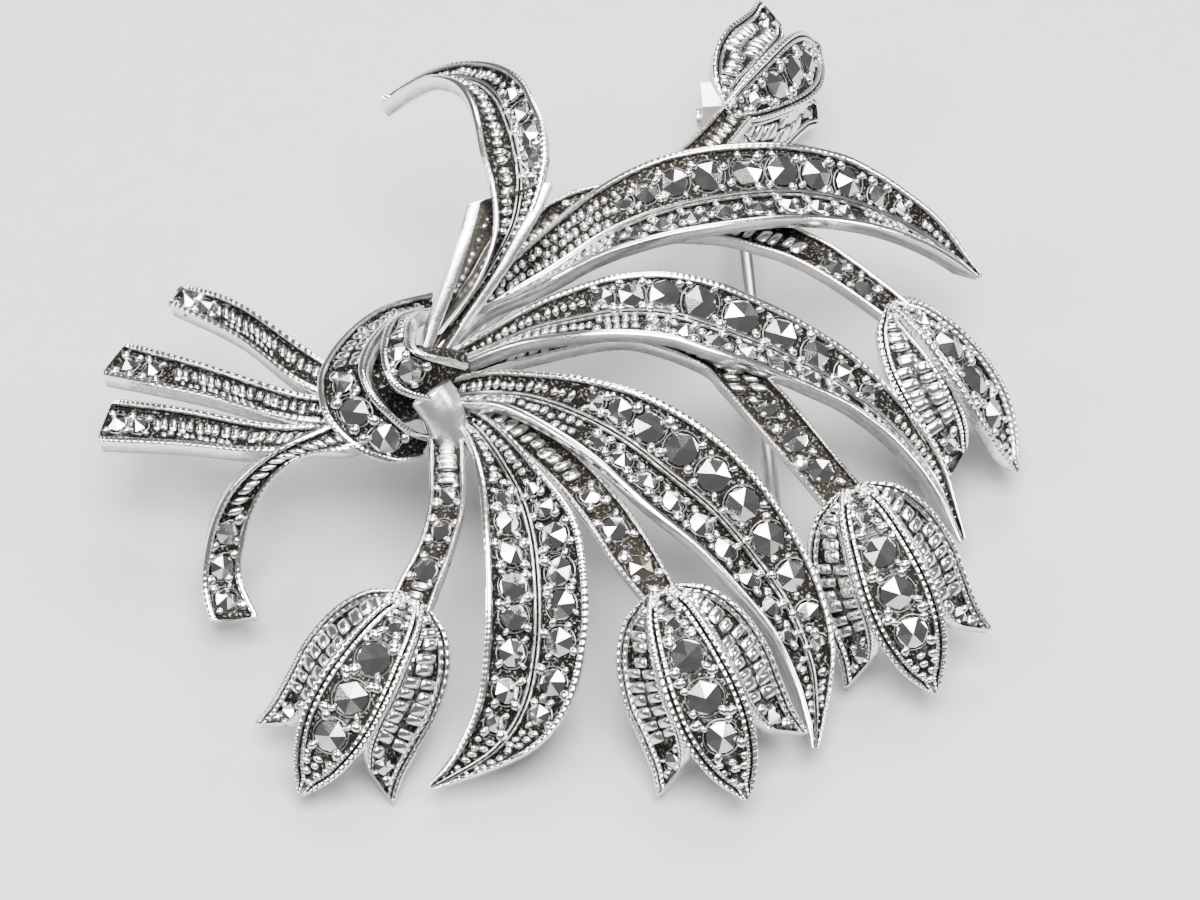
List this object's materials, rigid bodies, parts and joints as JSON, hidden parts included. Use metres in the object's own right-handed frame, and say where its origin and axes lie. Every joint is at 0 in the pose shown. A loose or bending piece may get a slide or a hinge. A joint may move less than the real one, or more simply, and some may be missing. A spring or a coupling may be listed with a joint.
{
  "type": "flower spray brooch",
  "caption": "Domed brooch: leaves and tulips tied with a ribbon, set with small faceted stones, pinned by a hinged wire and a roll-over catch on the back.",
  "frame": {"origin": "centre of the outline, on the surface the brooch rests on when laid face up", "axes": "+X from the cut stems toward the leaf tips, +Y from the front tulips toward the curled leaf and the hinge, +Z out of the face"},
  "size_m": [0.0592, 0.0638, 0.019],
  "materials": {
    "aged_silver": "cast silver, dark in the recesses, polished on the rims",
    "bright_silver": "plain silver findings, lightly tarnished",
    "pin_wire": "drawn hard wire, satin",
    "dark_stone": "faceted pyrite, metallic grey with a sharp shine"
  },
  "bodies": {
    "spray": {"knot_core": "aged_silver", "leaf_curled": "aged_silver", "leaf_sheath": "aged_silver", "leaf_top": "aged_silver", "leaf_middle": "aged_silver", "leaf_lower": "aged_silver", "leaf_front": "aged_silver", "stem_back": "aged_silver", "stem_right": "aged_silver", "stem_lower_right": "aged_silver", "stem_front": "aged_silver", "stem_left": "aged_silver", "tulip_back": "aged_silver", "tulip_right": "aged_silver", "tulip_lower_right": "aged_silver", "tulip_front": "aged_silver", "tulip_left": "aged_silver", "cut_stem_upper": "aged_silver", "cut_stem_middle": "aged_silver", "cut_stem_lower": "aged_silver", "ribbon_tail": "aged_silver", "ribbon_band_lower": "aged_silver", "ribbon_band_upper": "aged_silver", "ribbon_fold": "aged_silver", "stones_leaf_curled": "dark_stone", "stones_leaf_top": "dark_stone", "stones_leaf_middle": "dark_stone", "stones_leaf_lower": "dark_stone", "stones_leaf_front": "dark_stone", "stones_stem_back": "dark_stone", "stones_stem_right": "dark_stone", "stones_stem_lower_right": "dark_stone", "stones_stem_front": "dark_stone", "stones_stem_left": "dark_stone", "stones_tulip_back": "dark_stone", "stones_tulip_right": "dark_stone", "stones_tulip_lower_right": "dark_stone", "stones_tulip_front": "dark_stone", "stones_tulip_left": "dark_stone", "stones_cut_upper": "dark_stone", "stones_cut_middle": "dark_stone", "stones_cut_lower": "dark_stone", "stones_tail": "dark_stone", "stones_band_lower": "dark_stone", "stones_band_upper": "dark_stone", "hinge_bracket": "bright_silver", "hinge_rivet": "pin_wire", "catch_body": "bright_silver"},
    "pin": {"pin_stem": "pin_wire"},
    "safety": {"safety_lever": "bright_silver"}
  },
  "joints": [
    {"name": "pin_hinge", "type": "hinge", "parent": "spray", "child": "pin", "pos_m": [0.0115, 0.0247, 0.00385], "axis": [0.9986, 0.0523, 0], "range_deg": [0, 100]},
    {"name": "safety_roll", "type": "hinge", "parent": "spray", "child": "safety", "pos_m": [0.01362, -0.01584, 0.00385], "axis": [0.0523, -0.9986, 0], "range_deg": [0, 110]}
  ]
}
